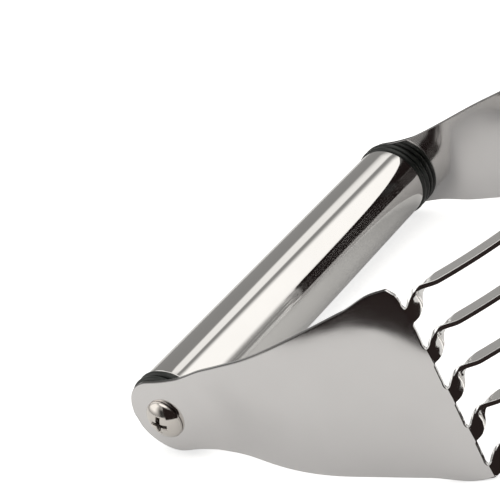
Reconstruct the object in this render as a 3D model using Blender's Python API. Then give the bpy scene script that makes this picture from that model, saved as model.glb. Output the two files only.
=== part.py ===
"""Pastry blender: a tube handle between two bent side plates that carry five curved blades standing on edge.

The object is drawn in the handle's own frame, in metres: X along the handle, Y across the blades, and Z up,
so that the blades hang towards -Z. Depth means the distance below the handle's axis. Every piece is then laid
on its side with one transform, so the object rests on its rings and on the lower corners of its plates.
"""

import math

import bmesh
import bpy
import numpy as np
from mathutils import Matrix, Vector

# Handle.
TUBE_RADIUS = 0.0100
TUBE_WALL = 0.0008
TUBE_LENGTH = 0.0990
TUBE_LIP = 0.0007
STACK = 0.0036
PLUG_DEPTH = 0.0140
PLUG_BORE = 0.0025
PLUG_CLEARANCE = 0.0002
PLUG_CHAMFER = 0.0008
COLLAR_SET_BACK = 0.0006
COLLAR_RADIUS = 0.0084

# Rubber rings, two at each end of the tube.
RING_RADIUS = 0.0104
RING_INNER = 0.0086
RING_WIDTH = 0.00152

# Screws.
HEAD_RADIUS = 0.0052
HEAD_HEIGHT = 0.0028
SHANK_RADIUS = 0.0022
SHANK_LENGTH = 0.0125
HEAD_SIDE = 0.0006
HEAD_GAP = 0.00012
HEAD_FULLNESS = 0.8
SHANK_POINT = 0.0008
RECESS_SPAN = 0.0048
RECESS_WIDTH = 0.0013
RECESS_DEPTH = 0.0017
RECESS_FLOOR = 0.6
RECESS_TURN_DEG = -26.0

# Sheet metal: a side plate is a blank cut to a half width that varies along it, then bent.
SHEET = 0.0010
PLATE_HOLE = 0.0026
PLATE_END_RADIUS = 0.00995
PLATE_LENGTH = 0.0787
FLAT_LENGTH = 0.0160
FRONT_CORNER = (0.0773, 0.0223)
FRONT_SHOULDER = 0.0207
PLATE_EDGE_BEVEL = 0.00015
NOTCH_RADIUS = 0.0008
WIDTH_KNOTS = (
    (0.0, 0.00995), (0.005, 0.00976), (0.010, 0.00988), (0.014, 0.01052), (0.018, 0.01128),
    (0.023, 0.01212), (0.030, 0.01345), (0.038, 0.01480), (0.046, 0.01630), (0.054, 0.01785),
    (0.064, 0.01990), (0.072, 0.02145), (0.0787, 0.02310),
)
BEND_KNOTS = (
    (0.0160, 0.0), (0.0235, -10.5), (0.0290, -9.0), (0.0356, -4.6), (0.0428, 3.8),
    (0.0500, 10.2), (0.0570, 11.4), (0.0640, 11.4), (0.0710, 13.6), (0.0787, 18.5),
)

# Blades.
BLADES = 5
PITCH = 0.00938
BLADE_HEIGHT = 0.0037
BLADE_RADIUS = 0.0653
BLADE_CENTRE = 0.0341
JOIN_DEG = 44.77
ROOT_WIDTH = 0.0034
ROOT_SHIFT = 0.0014
ROOT_LEAD = 0.0009
ARC_LEAD = 0.0020
SWING = -0.00086
SWING_BACK_DEG = 4.0
TWIST_LENGTH = 0.0099
TWIST_BEFORE = 0.0020
BACK_LEAD = 0.55
BACK_LEAD_AT = 0.00245
BACK_LEAD_SPREAD = 0.00206
BACK_LEAD_START = 0.0010
TWIST_STATIONS = 12
ARC_STATIONS = 19
EDGE_CHAMFER = 0.0002
EDGE_SHARE = 0.6

GAP = 0.0003
RING_GAP = 0.00014
HALF = TUBE_LENGTH / 2
PLATE_FACE = HALF + STACK

# How finely the round and bent shapes are divided.
TUBE_SEGMENTS = 56
PLUG_SEGMENTS = 48
RING_SEGMENTS = 44
SCREW_SEGMENTS = 40
HOLE_SEGMENTS = 32
NOTCH_SEGMENTS = 16
LIP_POINTS = 4
RING_CROWN_POINTS = 7
SCREW_CROWN_POINTS = 8
END_POINTS = 17
NECK_POINTS = 6
BEND_POINTS = 22
BEND_SAMPLES = 315

# Colour, metallic and roughness of each kind of piece.
SHEET_STEEL = ((0.62, 0.61, 0.59), 1.0, 0.32)
BLADE_STEEL = ((0.62, 0.61, 0.60), 1.0, 0.25)
POLISHED_STEEL = ((0.72, 0.71, 0.69), 1.0, 0.10)
SCREW_STEEL = ((0.66, 0.63, 0.60), 1.0, 0.18)
RUBBER = ((0.03, 0.035, 0.03), 0.0, 0.55)
PLASTIC = ((0.12, 0.12, 0.12), 0.0, 0.50)


def clear_scene():
    """Removes whatever the file starts with."""
    for item in list(bpy.data.objects):
        bpy.data.objects.remove(item, do_unlink=True)


def make_material(name, finish):
    """Makes one object's own material from a finish: colour, metallic and roughness."""
    colour, metallic, roughness = finish
    material = bpy.data.materials.new(f"{name}_finish")
    material.use_nodes = True
    shader = material.node_tree.nodes["Principled BSDF"]
    shader.inputs["Base Color"].default_value = (*colour, 1.0)
    shader.inputs["Metallic"].default_value = metallic
    shader.inputs["Roughness"].default_value = roughness
    material.diffuse_color = (*colour, 1.0)
    return material


def add_object(name, mesh, finish):
    """Adds one named object with its own material to the scene."""
    item = bpy.data.objects.new(name, mesh)
    bpy.context.scene.collection.objects.link(item)
    mesh.materials.append(make_material(name, finish))
    return item


def mesh_from_grid(name, points):
    """Makes a tube of quads from points[station, corner, 3], with its two ends capped."""
    stations, corners = points.shape[:2]
    verts = points.reshape(-1, 3)
    column = np.arange(corners)
    following = (column + 1) % corners
    rows = np.arange(stations - 1)[:, None] * corners
    quads = np.stack(
        [rows + column, rows + following, rows + corners + following, rows + corners + column], axis=-1
    )
    faces = quads.reshape(-1, 4).tolist()
    faces.append(column[::-1].tolist())
    faces.append(((stations - 1) * corners + column).tolist())
    mesh = bpy.data.meshes.new(name)
    mesh.from_pydata(verts.tolist(), [], faces)
    recalculate(mesh)
    return mesh


def recalculate(mesh):
    """Turns every face of a closed mesh outwards."""
    work = bmesh.new()
    work.from_mesh(mesh)
    bmesh.ops.recalc_face_normals(work, faces=work.faces)
    work.to_mesh(mesh)
    work.free()
    mesh.update()


def lathe(name, profile, segments, smooth=True):
    """Turns a closed profile of (x, radius) points about the X axis; a point of radius 0 lies on the axis."""
    work = bmesh.new()
    verts = [work.verts.new((x, radius, 0.0)) for x, radius in profile]
    pairs = zip(verts, verts[1:] + verts[:1])
    edges = [
        work.edges.new(pair) for pair in pairs if max(abs(v.co.y) for v in pair) > 1e-9
    ]
    bmesh.ops.spin(
        work, geom=verts + edges, cent=(0, 0, 0), axis=(1, 0, 0), angle=math.tau,
        steps=segments, use_merge=True,
    )
    bmesh.ops.remove_doubles(work, verts=work.verts, dist=1e-6)
    bmesh.ops.recalc_face_normals(work, faces=work.faces)
    for face in work.faces:
        face.smooth = smooth
    mesh = bpy.data.meshes.new(name)
    work.to_mesh(mesh)
    work.free()
    return mesh


def bend_profile():
    """Adds up the bend angle along the blank; returns lengths, inner face x, depth and angle in radians."""
    length = np.linspace(0.0, PLATE_LENGTH, BEND_SAMPLES)
    knots = np.array(BEND_KNOTS)
    angle = np.radians(smooth_interpolate(length, knots[:, 0], knots[:, 1]))
    angle[length <= FLAT_LENGTH] = 0.0
    step = np.diff(length)
    mean_sin = (np.sin(angle[1:]) + np.sin(angle[:-1])) / 2
    mean_cos = (np.cos(angle[1:]) + np.cos(angle[:-1])) / 2
    x = PLATE_FACE - np.concatenate([[0.0], np.cumsum(mean_sin * step)])
    depth = np.concatenate([[0.0], np.cumsum(mean_cos * step)])
    return length, x, depth, angle


def smooth_interpolate(at, x, y):
    """Monotone cubic interpolation through the knots (x, y), held constant outside them."""
    step = np.diff(x)
    slope = np.diff(y) / step
    inner = np.where(
        slope[1:] * slope[:-1] > 0,
        2 * slope[1:] * slope[:-1] / (slope[1:] + slope[:-1] + 1e-12 * np.sign(slope[1:])),
        0.0,
    )
    tangent = np.concatenate([[slope[0]], inner, [slope[-1]]])
    at = np.clip(at, x[0], x[-1])
    cell = np.clip(np.searchsorted(x, at, side="right") - 1, 0, len(step) - 1)
    t = (at - x[cell]) / step[cell]
    return (
        y[cell] * (2 * t**3 - 3 * t**2 + 1)
        + tangent[cell] * step[cell] * (t**3 - 2 * t**2 + t)
        + y[cell + 1] * (3 * t**2 - 2 * t**3)
        + tangent[cell + 1] * step[cell] * (t**3 - t**2)
    )


def half_width(length):
    """Half the blank's width at lengths along it."""
    knots = np.array(WIDTH_KNOTS)
    return smooth_interpolate(length, knots[:, 0], knots[:, 1])


def plate_outline():
    """Lists the blank's outline as (length, across): round end, two flared sides and the blade edge."""
    turn = np.linspace(math.pi / 2, 3 * math.pi / 2, END_POINTS)[1:-1]
    end = [(PLATE_END_RADIUS * math.cos(a), PLATE_END_RADIUS * math.sin(a)) for a in turn]
    neck = np.linspace(0.0, FLAT_LENGTH, NECK_POINTS)[:-1]
    lengths = np.concatenate([neck, np.linspace(FLAT_LENGTH, PLATE_LENGTH, BEND_POINTS)])
    widths = half_width(lengths)
    front = [(float(s), -float(w)) for s, w in zip(lengths[:-1], widths[:-1])]
    back = [(float(s), float(w)) for s, w in zip(lengths, widths)]
    corner_length, corner_across = FRONT_CORNER
    front.append((corner_length, -corner_across))
    front.append((PLATE_LENGTH, -FRONT_SHOULDER))
    return end + front + back[::-1]


def fold(side, s, across, out):
    """Carries a place on the blank to the bent plate: out is the distance outwards from its inner face."""
    length, x, depth, angle = bend_profile()
    along = max(s, 0.0)
    lean = float(np.interp(along, length, angle))
    px = float(np.interp(along, length, x)) + out * math.cos(lean)
    down = float(np.interp(along, length, depth)) + min(s, 0.0) + out * math.sin(lean)
    return Vector((side * px, across, -down))


def build_plate(name, side):
    """Builds one side plate: the blank is cut, bent, thickened outwards, drilled and notched."""
    work = bmesh.new()
    outline = [work.verts.new((s, y, 0.0)) for s, y in plate_outline()]
    work.faces.new(outline)
    for station in np.linspace(FLAT_LENGTH, PLATE_LENGTH, BEND_POINTS)[:-1]:
        geometry = work.verts[:] + work.edges[:] + work.faces[:]
        bmesh.ops.bisect_plane(work, geom=geometry, plane_co=(station, 0, 0), plane_no=(1, 0, 0), dist=1e-7)
    for vert in work.verts:
        vert.co = fold(side, vert.co.x, vert.co.y, 0.0)
    bmesh.ops.recalc_face_normals(work, faces=work.faces)
    if sum(face.normal.x * face.calc_area() for face in work.faces) * side < 0:
        bmesh.ops.reverse_faces(work, faces=work.faces)
    mesh = bpy.data.meshes.new(name)
    work.to_mesh(mesh)
    work.free()
    plate = add_object(name, mesh, SHEET_STEEL)
    solid = plate.modifiers.new("thickness", "SOLIDIFY")
    solid.thickness = SHEET
    solid.offset = 1.0
    solid.use_even_offset = True
    cut(plate, f"{name}_drill", drill(name, side))
    cut(plate, f"{name}_notches", notch_cutters(name, side))
    soften = plate.modifiers.new("edges", "BEVEL")
    soften.width = PLATE_EDGE_BEVEL
    soften.segments = 1
    soften.limit_method = "ANGLE"
    soften.angle_limit = math.radians(60)
    return plate


def drill(name, side):
    """Makes the cutter for the screw hole: a cylinder three sheets longer than the wall at each face."""
    start = PLATE_FACE - 3 * SHEET
    stop = PLATE_FACE + 4 * SHEET
    profile = [(start, 0.0), (start, PLATE_HOLE), (stop, PLATE_HOLE), (stop, 0.0)]
    return lathe(f"{name}_drill", [(side * x, r) for x, r in profile], HOLE_SEGMENTS)


def notch_cutters(name, side):
    """Makes the cutter for the relief notches: one short round bar in front of each blade root."""
    turn = np.arange(NOTCH_SEGMENTS) * math.tau / NOTCH_SEGMENTS
    work = bmesh.new()
    for index in range(BLADES):
        centre = blade_plane(index) + ROOT_SHIFT - NOTCH_RADIUS
        rings = []
        for out in (-2 * SHEET, 3 * SHEET):
            ring = []
            for a in turn:
                s = PLATE_LENGTH + GAP + NOTCH_RADIUS * math.cos(a)
                ring.append(work.verts.new(straight(side, s, centre + NOTCH_RADIUS * math.sin(a), out)))
            rings.append(ring)
        work.faces.new(rings[0])
        work.faces.new(rings[1][::-1])
        for k in range(NOTCH_SEGMENTS):
            after = (k + 1) % NOTCH_SEGMENTS
            work.faces.new((rings[0][k], rings[0][after], rings[1][after], rings[1][k]))
    bmesh.ops.recalc_face_normals(work, faces=work.faces)
    mesh = bpy.data.meshes.new(f"{name}_notches")
    work.to_mesh(mesh)
    work.free()
    return mesh


def straight(side, s, across, out):
    """Places a point on the straight run of the blade edge's last slope, which also goes on past the edge."""
    _, x, depth, angle = bend_profile()
    lean = float(angle[-1])
    past = s - PLATE_LENGTH
    px = float(x[-1]) - past * math.sin(lean) + out * math.cos(lean)
    down = float(depth[-1]) + past * math.cos(lean) + out * math.sin(lean)
    return Vector((side * px, across, -down))


def cut(item, name, cutter_mesh):
    """Takes a hidden cutter out of an object with an exact Boolean."""
    cutter = add_object(name, cutter_mesh, SCREW_STEEL)
    cutter.hide_render = True
    cutter.display_type = "WIRE"
    boolean = item.modifiers.new(name, "BOOLEAN")
    boolean.operation = "DIFFERENCE"
    boolean.solver = "EXACT"
    boolean.object = cutter


def smooth_step(t):
    """Rises from 0 to 1 with level ends as t goes from 0 to 1."""
    t = np.clip(t, 0.0, 1.0)
    return t * t * (3 - 2 * t)


def bezier(points, t):
    """Evaluates a cubic Bezier curve at the parameters t."""
    a, b, c, d = (np.array(p) for p in points)
    t = t[:, None]
    return (1 - t) ** 3 * a + 3 * (1 - t) ** 2 * t * b + 3 * (1 - t) * t**2 * c + t**3 * d


def blade_plane(index):
    """Place across of the plane that a blade stands in."""
    return (index - (BLADES - 1) / 2) * PITCH


def blade_arc(centre_y, turn):
    """Points of the arc in the blade's plane at angles from its lowest point, towards -X."""
    plane = np.full_like(turn, centre_y)
    x, depth = -BLADE_RADIUS * np.sin(turn), BLADE_CENTRE + BLADE_RADIUS * np.cos(turn)
    return np.stack([x, plane, -depth], axis=1)


def blade_front(centre_y):
    """Follows a blade's front edge from its root at -X to its middle.

    The edge leaves the plate along it, swings a little past the blade's plane, meets the arc along its tangent
    and eases back into the plane.
    """
    _, x, depth, angle = bend_profile()
    lean = float(angle[-1])
    along = np.array([math.sin(lean), 0.0, -math.cos(lean)])
    outward = np.array([-math.cos(lean), 0.0, -math.sin(lean)])
    start = np.array([-x[-1], centre_y + ROOT_SHIFT, -depth[-1]]) + outward * SHEET / 2 + along * GAP
    join = math.radians(JOIN_DEG)
    heading = np.array([math.cos(join), 0.0, -math.sin(join)])
    finish = blade_arc(centre_y + SWING, np.array([join]))[0]
    t = np.linspace(0.0, 1.0, TWIST_STATIONS)
    curve = bezier((start, start + along * ROOT_LEAD, finish - heading * ARC_LEAD, finish), t)
    turn = np.linspace(join, 0.0, ARC_STATIONS)[1:]
    arc = blade_arc(centre_y, turn)
    arc[:, 1] += SWING * (1 - smooth_step((join - turn) / math.radians(SWING_BACK_DEG)))
    return np.concatenate([curve, arc])


def blade_half(centre_y):
    """Works out how the strip stands on its front edge: edge points, width vectors and half thicknesses.

    The strip turns by a quarter over a set length. While it turns, its back edge runs ahead of the front edge
    by a bell curve.
    """
    edge = blade_front(centre_y)
    run = np.concatenate([[0.0], np.cumsum(np.linalg.norm(np.diff(edge, axis=0), axis=1))])
    rate = np.gradient(edge, run, axis=0) * np.array([1.0, 0.0, 1.0])
    rate /= np.linalg.norm(rate, axis=1, keepdims=True)
    inward = np.stack([-rate[:, 2], rate[:, 1], rate[:, 0]], axis=1)
    across = np.array([0.0, 1.0, 0.0])
    whole = TWIST_LENGTH + TWIST_BEFORE
    begun = smooth_step(TWIST_BEFORE / whole)
    share = (smooth_step((run + TWIST_BEFORE) / whole) - begun) / (1 - begun)
    cosine, sine = np.cos(share * math.pi / 2)[:, None], np.sin(share * math.pi / 2)[:, None]
    bell = np.exp(-(((run - BACK_LEAD_AT) / BACK_LEAD_SPREAD) ** 2))
    lead = BACK_LEAD * bell * smooth_step(run / BACK_LEAD_START)
    root_width = min(ROOT_WIDTH, float(half_width(np.array([PLATE_LENGTH]))[0]) - centre_y - ROOT_SHIFT)
    width = root_width + (BLADE_HEIGHT - root_width) * share
    reach = (cosine * across + sine * inward + lead[:, None] * rate) * width[:, None]
    thick = (sine * across - cosine * inward) * SHEET / 2
    return edge, reach, thick


def build_blade(name, index):
    """Builds one blade from plate to plate, with its outer edge lightly chamfered."""
    edge, reach, thick = blade_half(blade_plane(index))
    inset = reach * (EDGE_CHAMFER / np.linalg.norm(reach, axis=1, keepdims=True))
    corners = [
        edge - thick * EDGE_SHARE,
        edge + inset - thick,
        edge + reach - thick,
        edge + reach + thick,
        edge + inset + thick,
        edge + thick * EDGE_SHARE,
    ]
    half = np.stack(corners, axis=1)
    mirrored = half[::-1][1:] * np.array([-1.0, 1.0, 1.0])
    return add_object(name, mesh_from_grid(name, np.concatenate([half, mirrored])), BLADE_STEEL)


def build_tube():
    """Builds the handle tube with rounded lips at both ends."""
    inner = TUBE_RADIUS - TUBE_WALL
    lip = [
        (HALF - TUBE_LIP * (1 - math.sin(a)), TUBE_RADIUS - TUBE_LIP * (1 - math.cos(a)))
        for a in np.linspace(0.0, math.pi / 2, LIP_POINTS)
    ]
    right = [*lip, (HALF, inner)]
    left = [(-x, r) for x, r in reversed(right)]
    return add_object("handle_tube", lathe("handle_tube", right + left, TUBE_SEGMENTS), POLISHED_STEEL)


def build_plug(name, side):
    """Builds an end plug: a body inside the tube and a collar that carries the rings and takes the screw."""
    inner = HALF - PLUG_DEPTH
    body = TUBE_RADIUS - TUBE_WALL - PLUG_CLEARANCE
    step = HALF - COLLAR_SET_BACK
    outer = PLATE_FACE - PLUG_CLEARANCE
    profile = [
        (inner, PLUG_BORE), (inner, body - PLUG_CHAMFER), (inner + PLUG_CHAMFER, body), (step, body),
        (step, COLLAR_RADIUS), (outer, COLLAR_RADIUS), (outer, PLUG_BORE),
    ]
    mesh = lathe(name, [(side * x, r) for x, r in profile], PLUG_SEGMENTS, smooth=False)
    return add_object(name, mesh, PLASTIC)


def build_ring(name, side, place):
    """Builds one rubber ring; place 0 is next to the tube and place 1 is next to the plate."""
    middle = HALF + RING_GAP + RING_WIDTH / 2 + place * (RING_WIDTH + RING_GAP)
    core = RING_RADIUS - RING_WIDTH / 2
    crown = [
        (middle + RING_WIDTH / 2 * math.cos(a), core + RING_WIDTH / 2 * math.sin(a))
        for a in np.linspace(0.0, math.pi, RING_CROWN_POINTS)
    ]
    profile = [*crown, (middle - RING_WIDTH / 2, RING_INNER), (middle + RING_WIDTH / 2, RING_INNER)]
    return add_object(name, lathe(name, [(side * x, r) for x, r in profile], RING_SEGMENTS), RUBBER)


def build_screw(name, side):
    """Builds a pan head screw with a cross recess; its shank passes the plate and ends inside the plug."""
    under = PLATE_FACE + SHEET + HEAD_GAP
    top = under + HEAD_HEIGHT
    crown = HEAD_HEIGHT - HEAD_SIDE
    rise = [
        (under + HEAD_SIDE + crown * math.sin(a), HEAD_RADIUS * math.cos(a) ** HEAD_FULLNESS)
        for a in np.linspace(0.0, math.pi / 2, SCREW_CROWN_POINTS)[:-1]
    ]
    tip = under - SHANK_LENGTH
    profile = [
        (tip, 0.0), (tip, SHANK_RADIUS - SHANK_POINT), (tip + SHANK_POINT, SHANK_RADIUS),
        (under, SHANK_RADIUS), (under, HEAD_RADIUS), *rise, (top, 0.0),
    ]
    screw = add_object(name, lathe(name, [(side * x, r) for x, r in profile], SCREW_SEGMENTS), SCREW_STEEL)
    cut(screw, f"{name}_recess", recess_cutter(f"{name}_recess", side, top))
    return screw


def cross_outline(span, width):
    """Lists the twelve corners of a cross whose arms have the given span and width."""
    reach, half = span / 2, width / 2
    arm = [(reach, -half), (reach, half), (half, half)]
    corners = []
    for quarter in range(4):
        turn = Matrix.Rotation(quarter * math.pi / 2 + math.radians(RECESS_TURN_DEG), 2)
        corners += [turn @ Vector(corner) for corner in arm]
    return corners


def recess_cutter(name, side, top):
    """Makes the cutter for a screw's recess: a cross that tapers from above the crown down to its floor."""
    work = bmesh.new()
    rings = []
    for x, share in ((top - RECESS_DEPTH, RECESS_FLOOR), (top + SHEET, 2 - RECESS_FLOOR)):
        flat = cross_outline(RECESS_SPAN * share, RECESS_WIDTH * (1 + share) / 2)
        rings.append([work.verts.new((side * x, corner.x, corner.y)) for corner in flat])
    count = len(rings[0])
    work.faces.new(rings[0])
    work.faces.new(rings[1][::-1])
    for k in range(count):
        after = (k + 1) % count
        work.faces.new((rings[0][k], rings[0][after], rings[1][after], rings[1][k]))
    bmesh.ops.recalc_face_normals(work, faces=work.faces)
    mesh = bpy.data.meshes.new(name)
    work.to_mesh(mesh)
    work.free()
    return mesh


def rest_transform(items):
    """Lays the object on its side, so that rings and plate corners touch the ground, centred on z = 0."""
    _, _, depth, _ = bend_profile()
    corner_y, corner_depth = WIDTH_KNOTS[-1][1], float(depth[-1])
    reach = math.hypot(corner_y, corner_depth)
    tilt = math.acos(RING_RADIUS / reach) - math.atan2(corner_depth, corner_y)
    turn = Matrix.Rotation(-(math.pi / 2 + tilt), 4, "X")
    bpy.context.view_layer.update()
    graph = bpy.context.evaluated_depsgraph_get()
    corners = [
        turn @ vert.co
        for item in items
        for vert in item.evaluated_get(graph).data.vertices
    ]
    middle_y = (min(c.y for c in corners) + max(c.y for c in corners)) / 2
    lowest = min(c.z for c in corners)
    return Matrix.Translation((0.0, -middle_y, -lowest)) @ turn


def main():
    """Builds every piece and lays the object down."""
    clear_scene()
    pieces = [build_tube()]
    for label, side in (("near", -1), ("far", 1)):
        pieces.append(build_plate(f"side_plate_{label}", side))
        pieces.append(build_plug(f"end_plug_{label}", side))
        pieces.append(build_ring(f"ring_{label}_inner", side, 0))
        pieces.append(build_ring(f"ring_{label}_outer", side, 1))
        pieces.append(build_screw(f"screw_{label}", side))
    for index in range(BLADES):
        pieces.append(build_blade(f"blade_{index + 1}", index))
    lay = rest_transform(pieces)
    for item in bpy.context.scene.collection.objects:
        item.matrix_world = lay


main()
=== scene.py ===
"""Pastry blender: a polished tube handle held between two bent side plates that carry five blades on edge.

The pieces are worked out in the handle's own frame, in metres: x along the handle, y across the blades and depth
below the handle's axis. A Lay object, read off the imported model, carries them to where the object lies.
"""

from __future__ import annotations

import logging
import math
from dataclasses import dataclass, field
from enum import Enum

import bpy
import bmesh
import numpy as np
from mathutils import Matrix, Vector


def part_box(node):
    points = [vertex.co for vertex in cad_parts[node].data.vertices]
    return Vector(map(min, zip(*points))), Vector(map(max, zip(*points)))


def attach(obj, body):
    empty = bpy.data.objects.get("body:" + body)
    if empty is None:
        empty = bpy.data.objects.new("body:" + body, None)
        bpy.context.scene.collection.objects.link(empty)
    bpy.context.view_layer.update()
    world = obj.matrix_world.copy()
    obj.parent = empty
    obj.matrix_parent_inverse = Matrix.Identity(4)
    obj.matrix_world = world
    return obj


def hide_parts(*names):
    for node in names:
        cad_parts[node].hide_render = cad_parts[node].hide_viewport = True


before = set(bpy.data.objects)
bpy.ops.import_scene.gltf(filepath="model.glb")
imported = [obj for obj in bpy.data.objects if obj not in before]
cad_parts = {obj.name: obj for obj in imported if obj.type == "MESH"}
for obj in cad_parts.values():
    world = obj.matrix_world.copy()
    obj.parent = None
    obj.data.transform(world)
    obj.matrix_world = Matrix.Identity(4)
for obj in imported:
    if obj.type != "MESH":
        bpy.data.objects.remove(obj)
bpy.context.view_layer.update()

LOG = logging.getLogger("pastry_blender")


class End(Enum):
    """The two ends of the handle: the sign of x there."""

    NEAR = -1
    FAR = 1


class Slot(Enum):
    """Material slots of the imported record."""

    SHEET = "sheet_steel"
    BLADE = "blade_steel"
    TUBE = "polished_steel"
    SCREW = "screw_steel"
    RING = "ring_rubber"
    PLUG = "plug_plastic"


class Seat(Enum):
    """The two places for a ring at each end, counted from the tube outwards."""

    INNER = 0
    OUTER = 1


# ---------------------------------------------------------------------------------------------------------------
# Where the object lies.


@dataclass(frozen=True)
class Lay:
    """The handle's own frame as it lies in the row frame."""

    origin: tuple[float, float, float]
    across: tuple[float, float, float]
    down: tuple[float, float, float]

    @classmethod
    def from_frame(cls) -> Lay:
        """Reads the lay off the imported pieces.

        The origin is the tube's middle. The first and the fourth blade are alike, so the line from one to the other
        runs straight across the blades.

        Returns:
            The lay of the object.
        """
        low, high = (np.array(corner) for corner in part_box("handle_tube"))
        first, last = (np.mean([np.array(c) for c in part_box(name)], axis=0) for name in ("blade_1", "blade_4"))
        across = (last - first) / np.linalg.norm(last - first)
        down = np.array([0.0, across[2], -across[1]])
        return cls(tuple((low + high) / 2), tuple(across), tuple(down))

    def turn(self, x: np.ndarray, y: np.ndarray, depth: np.ndarray) -> np.ndarray:
        """Turns a direction given along, across and below the handle into the row frame.

        Args:
            x: Share along the handle.
            y: Share across the blades.
            depth: Share away from the handle's axis towards the blades.

        Returns:
            The direction, with a last axis of three.
        """
        x, y, depth = np.broadcast_arrays(x, y, depth)
        return (
            x[..., None] * np.array([1.0, 0.0, 0.0])
            + y[..., None] * np.array(self.across)
            + depth[..., None] * np.array(self.down)
        )

    def place(self, x: np.ndarray, y: np.ndarray, depth: np.ndarray) -> np.ndarray:
        """Carries points from the handle's own frame to the row frame.

        Args:
            x: Distance along the handle from its middle.
            y: Distance across the blades from the middle blade.
            depth: Distance below the handle's axis.

        Returns:
            The points, with a last axis of three.
        """
        return np.array(self.origin) + self.turn(x, y, depth)


# ---------------------------------------------------------------------------------------------------------------
# Meshes from arrays.


def sheet_mesh(
    name: str,
    points: np.ndarray,
    flat: np.ndarray,
    values: dict[str, np.ndarray] | None = None,
    around: bool = False,
) -> bpy.types.Mesh:
    """Makes a mesh of quads from a grid of points, with a UV map in metres.

    Args:
        name: Name of the mesh.
        points: Grid of points, rows by columns by three.
        flat: Grid of the same size by two, the place of each point on the unrolled surface.
        values: Attributes of the points, each a grid of rows by columns.
        around: True if the last column joins the first one.

    Returns:
        The mesh.
    """
    rows, columns = points.shape[:2]
    if around:
        points = np.concatenate([points, points[:, :1]], axis=1)
        columns += 1
    index = np.arange(rows * columns).reshape(rows, columns)
    quads = np.stack([index[:-1, :-1], index[:-1, 1:], index[1:, 1:], index[1:, :-1]], axis=-1).reshape(-1, 4)
    mesh = bpy.data.meshes.new(name)
    mesh.from_pydata(points.reshape(-1, 3).tolist(), [], quads.tolist())
    layer = mesh.uv_layers.new(name="unrolled")
    layer.data.foreach_set("uv", flat.reshape(-1, 2)[quads.ravel()].astype(np.float32).ravel())
    for key, value in (values or {}).items():
        if around:
            value = np.concatenate([value, value[:, :1]], axis=1)
        mesh.attributes.new(key, "FLOAT", "POINT").data.foreach_set("value", value.astype(np.float32).ravel())
    return mesh


def close_mesh(mesh: bpy.types.Mesh, outward: bool = True) -> bpy.types.Mesh:
    """Merges the coincident points of a mesh, drops faces without area and turns the rest outwards.

    Args:
        mesh: The mesh, changed in place.
        outward: True for a closed shell, whose faces are turned to point out.

    Returns:
        The same mesh, smooth shaded.
    """
    work = bmesh.new()
    work.from_mesh(mesh)
    bmesh.ops.remove_doubles(work, verts=work.verts, dist=1e-7)
    bmesh.ops.dissolve_degenerate(work, edges=work.edges, dist=1e-8)
    if outward:
        bmesh.ops.recalc_face_normals(work, faces=work.faces)
    work.to_mesh(mesh)
    work.free()
    mesh.shade_smooth()
    return mesh


def capped(points: np.ndarray, flat: np.ndarray) -> tuple[np.ndarray, np.ndarray]:
    """Closes both ends of a tube grid by a row gathered at the middle of its first and last row.

    Args:
        points: Grid of points, rows by columns by three.
        flat: Grid of the same size by two.

    Returns:
        The two grids with a row added at each end.
    """
    ends = [np.broadcast_to(row.mean(axis=0), row.shape)[None] for row in (points[0], points[-1])]
    return (
        np.concatenate([ends[0], points, ends[1]]),
        np.concatenate([flat[:1], flat, flat[-1:]]),
    )


def show(name: str, mesh: bpy.types.Mesh, material: bpy.types.Material) -> bpy.types.Object:
    """Adds an object at the origin that shows a mesh in one material.

    Args:
        name: Name of the object.
        mesh: Its mesh.
        material: Its only material.

    Returns:
        The object.
    """
    item = bpy.data.objects.new(name, mesh)
    bpy.context.scene.collection.objects.link(item)
    mesh.materials.clear()
    mesh.materials.append(material)
    return item


def settle(item: bpy.types.Object, body: str, slot: Slot, *nodes: str) -> bpy.types.Object:
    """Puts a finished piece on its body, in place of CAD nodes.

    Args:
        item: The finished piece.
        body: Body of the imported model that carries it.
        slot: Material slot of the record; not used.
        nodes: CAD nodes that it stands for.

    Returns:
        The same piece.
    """
    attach(item, body)
    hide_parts(*nodes)
    LOG.info("piece %s rides on %s and stands for %s", item.name, body, ", ".join(nodes))
    return item


def keep(name: str, material: bpy.types.Material) -> bpy.types.Object:
    """Dresses a CAD node that stays as it is.

    Args:
        name: Name of the node.
        material: Its finish.

    Returns:
        The node's object.
    """
    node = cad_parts[name]
    node.data.materials.clear()
    node.data.materials.append(material)
    LOG.info("node %s stays and takes %s", name, material.name)
    return node


def lathe(
    name: str,
    lay: Lay,
    x: np.ndarray,
    radius: np.ndarray,
    steps: int,
    values: dict[str, np.ndarray] | None = None,
) -> bpy.types.Mesh:
    """Turns a profile about the handle's axis: a point at (x, radius) goes round the circle of that radius.

    Args:
        name: Name of the mesh.
        lay: Lay of the object.
        x: Places along the handle, closed by repeating the first point or by ends on the axis.
        radius: Distances from the axis.
        steps: Points on a full turn.
        values: Attributes along the profile.

    Returns:
        The closed mesh.
    """
    turn = np.linspace(0.0, math.tau, steps, endpoint=False)
    wide = np.broadcast_to(x[:, None], (len(x), steps))
    points = lay.place(wide, radius[:, None] * np.sin(turn), radius[:, None] * np.cos(turn))
    run = np.concatenate([[0.0], np.cumsum(np.hypot(np.diff(x), np.diff(radius)))])
    largest = float(radius.max())
    around = np.append(turn, math.tau) * largest
    flat = np.stack(np.broadcast_arrays(run[:, None], around[None, :]), axis=-1)
    grids = {k: np.broadcast_to(v[:, None], (len(x), steps)).copy() for k, v in (values or {}).items()}
    return close_mesh(sheet_mesh(name, points, flat, grids, around=True))


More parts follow.
